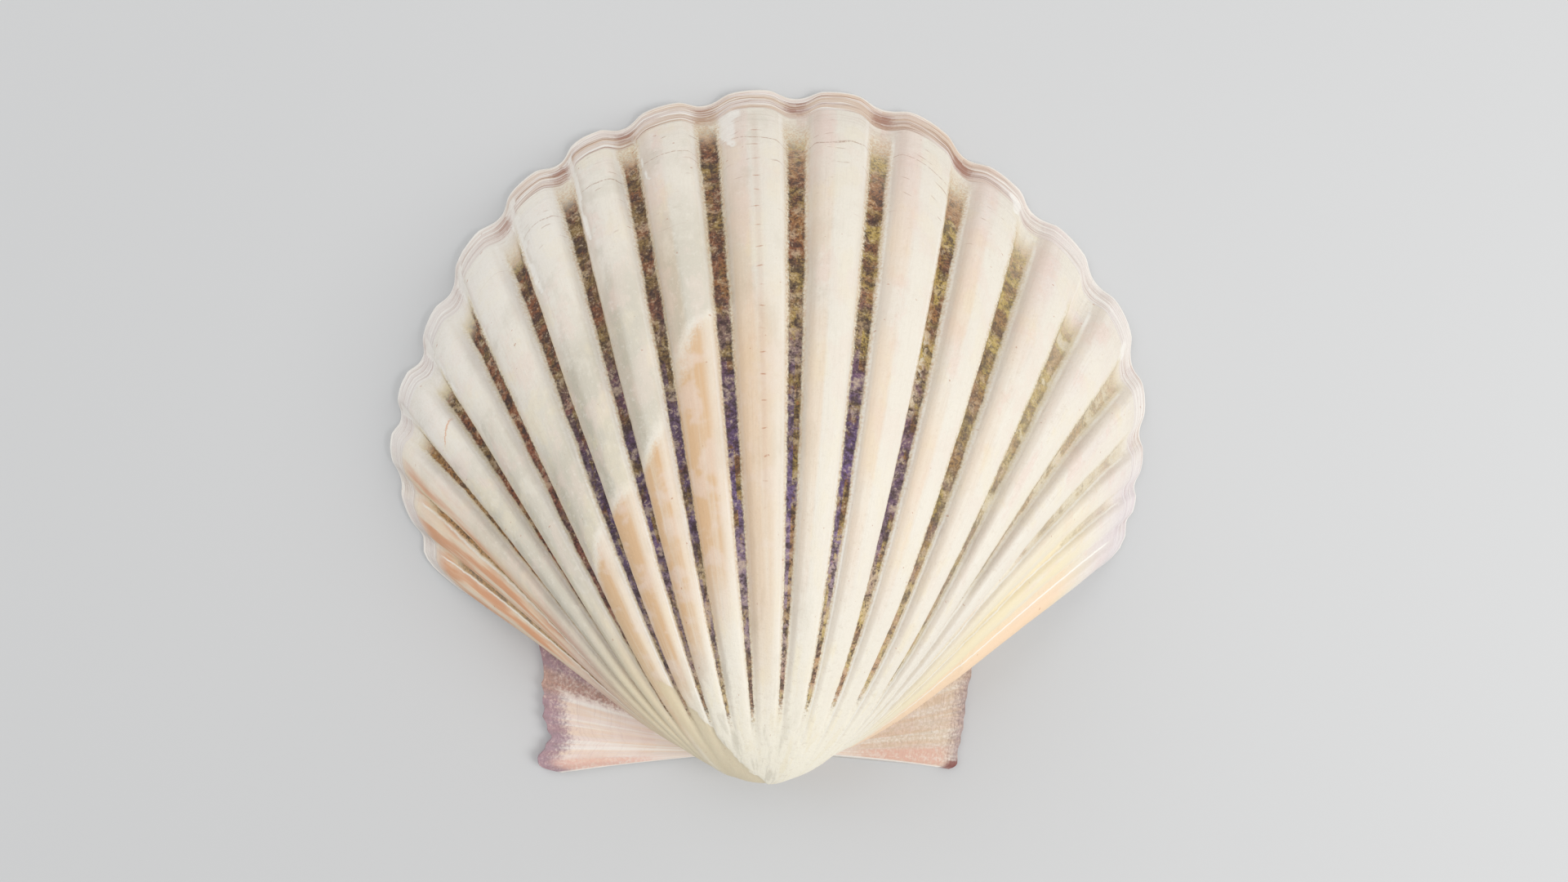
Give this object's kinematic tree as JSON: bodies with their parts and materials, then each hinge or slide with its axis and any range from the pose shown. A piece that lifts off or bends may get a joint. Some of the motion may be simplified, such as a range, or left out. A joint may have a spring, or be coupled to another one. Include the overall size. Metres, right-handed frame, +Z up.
{
  "type": "fossil scallop shell",
  "caption": "Single convex valve of a fossil scallop, a ribbed fan with two ears and a hollow underside, lying on its rim with the outside up.",
  "frame": {"origin": "middle of the valve's footprint, on the plane of its rim", "axes": "+X from the ear with the byssal notch towards the plain ear, +Y from the beak towards the ribbed rim, +Z up out of the convex outside"},
  "size_m": [0.1196, 0.1084, 0.0311],
  "materials": {
    "shell": "matt, chalky, ivory and pale peach with olive, brown and violet stain in the grooves"
  },
  "bodies": {
    "root": {"scallop_valve": "shell"}
  },
  "joints": []
}
